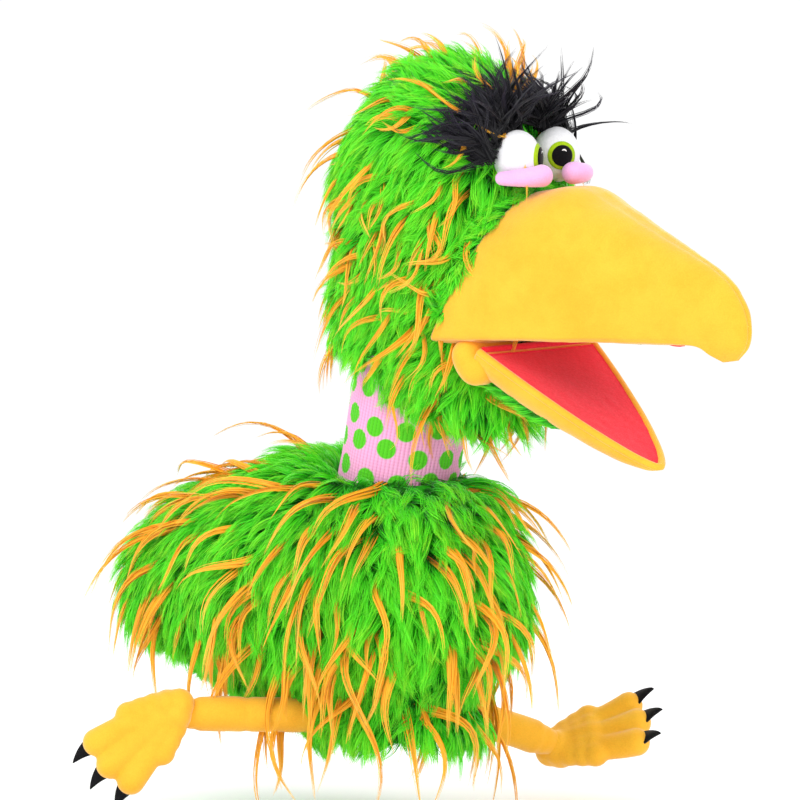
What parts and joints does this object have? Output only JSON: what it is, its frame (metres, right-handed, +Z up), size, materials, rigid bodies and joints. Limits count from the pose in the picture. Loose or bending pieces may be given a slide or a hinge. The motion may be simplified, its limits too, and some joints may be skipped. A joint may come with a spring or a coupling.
{
  "type": "moving mouth hand puppet",
  "caption": "Furry long-necked bird hand puppet: arm sleeve, knitted neck, plush beak whose lower half opens, loose stuffed legs.",
  "frame": {"origin": "centre of the arm opening at the foot of the sleeve", "axes": "+X the way the bird faces, +Y its left side, +Z up; the arm leaves along -Z"},
  "size_m": [0.6447, 0.4423, 0.6134],
  "materials": {
    "green_fur": "matte",
    "yellow_plush": "matte",
    "red_felt": "matte",
    "pink_knit": "matte",
    "pink_plush": "matte",
    "white_plush": "matte",
    "black_fur": "matte",
    "black_felt": "matte",
    "lime_felt": "matte",
    "lining_cloth": "matte",
    "stuffing": "matte",
    "board": "matte"
  },
  "bodies": {
    "body": {"arm_sleeve": "lining_cloth", "sleeve_hem": "lining_cloth", "sleeve_seam_band": "lining_cloth", "body_stuffing": "stuffing", "body_fur_base": "green_fur", "body_fur_chest": "green_fur", "body_fur_left": "green_fur", "body_fur_right": "green_fur", "body_fur_rump": "green_fur"},
    "neck": {"neck_knit": "pink_knit", "neck_lining": "lining_cloth"},
    "cuff": {"wrist_cuff": "lining_cloth"},
    "jaw": {"lower_beak_cover": "yellow_plush", "lower_beak_stuffing": "stuffing", "lower_mouth_lining": "red_felt", "lower_mouth_board": "board", "thumb_pocket": "lining_cloth", "mouth_corner_rolls": "yellow_plush", "jaw_fur": "green_fur"},
    "hip_left": {"hip_tab_left": "lining_cloth"},
    "leg_left": {"leg_left": "yellow_plush", "leg_stuffing_left": "stuffing"},
    "foot_left": {"foot_left": "yellow_plush", "foot_stuffing_left": "stuffing", "claws_left": "black_felt"},
    "hip_right": {"hip_tab_right": "lining_cloth"},
    "leg_right": {"leg_right": "yellow_plush", "leg_stuffing_right": "stuffing"},
    "foot_right": {"foot_right": "yellow_plush", "foot_stuffing_right": "stuffing", "claws_right": "black_felt"},
    "head": {"eye_left": "white_plush", "eye_right": "white_plush", "eye_spot_left": "white_plush", "eye_spot_right": "white_plush", "eyebrow_left": "black_fur", "eyebrow_right": "black_fur", "eyelid_left": "pink_plush", "eyelid_right": "pink_plush", "finger_pocket": "lining_cloth", "head_fur_crown": "green_fur", "head_fur_left": "green_fur", "head_fur_nape": "green_fur", "head_fur_right": "green_fur", "head_liner": "stuffing", "iris_left": "lime_felt", "iris_right": "lime_felt", "mouth_fold": "red_felt", "pupil_left": "black_felt", "pupil_right": "black_felt", "throat_fur": "green_fur", "upper_beak_cover": "yellow_plush", "upper_beak_stuffing": "stuffing", "upper_mouth_board": "board", "upper_mouth_lining": "red_felt"}
  },
  "joints": [
    {"name": "neck_lean", "type": "hinge", "parent": "body", "child": "neck", "pos_m": [0.008, 0, 0.206], "axis": [0, 1, 0], "range_deg": [-14, 8]},
    {"name": "head_turn", "type": "hinge", "parent": "neck", "child": "cuff", "pos_m": [0.03, 0, 0.302], "axis": [0.2234, 0, 0.9747], "range_deg": [-35, 35]},
    {"name": "head_nod", "type": "hinge", "parent": "cuff", "child": "head", "pos_m": [0.03, 0, 0.302], "axis": [0, 1, 0], "range_deg": [-14, 7]},
    {"name": "jaw_open", "type": "hinge", "parent": "head", "child": "jaw", "pos_m": [0.156, 0, 0.322], "axis": [0, 1, 0], "range_deg": [-33, 8]},
    {"name": "hip_swing_left", "type": "hinge", "parent": "body", "child": "hip_left", "pos_m": [-0.015, 0.068, 0.02], "axis": [0, 0, 1], "range_deg": [-22, 22]},
    {"name": "leg_lift_left", "type": "hinge", "parent": "hip_left", "child": "leg_left", "pos_m": [-0.015, 0.068, 0.02], "axis": [0.9272, -0.3746, 0], "range_deg": [-45, 8]},
    {"name": "ankle_bend_left", "type": "hinge", "parent": "leg_left", "child": "foot_left", "pos_m": [0.02573, 0.16882, -0.01744], "axis": [0.9272, -0.3746, 0], "range_deg": [-25, 25]},
    {"name": "hip_swing_right", "type": "hinge", "parent": "body", "child": "hip_right", "pos_m": [-0.015, -0.068, 0.02], "axis": [0, 0, -1], "range_deg": [-22, 22]},
    {"name": "leg_lift_right", "type": "hinge", "parent": "hip_right", "child": "leg_right", "pos_m": [-0.015, -0.068, 0.02], "axis": [-0.7193, 0.6947, 0], "range_deg": [-45, 8]},
    {"name": "ankle_bend_right", "type": "hinge", "parent": "leg_right", "child": "foot_right", "pos_m": [-0.09487, -0.15071, 0.02201], "axis": [-0.7193, 0.6947, 0], "range_deg": [-25, 25]}
  ]
}
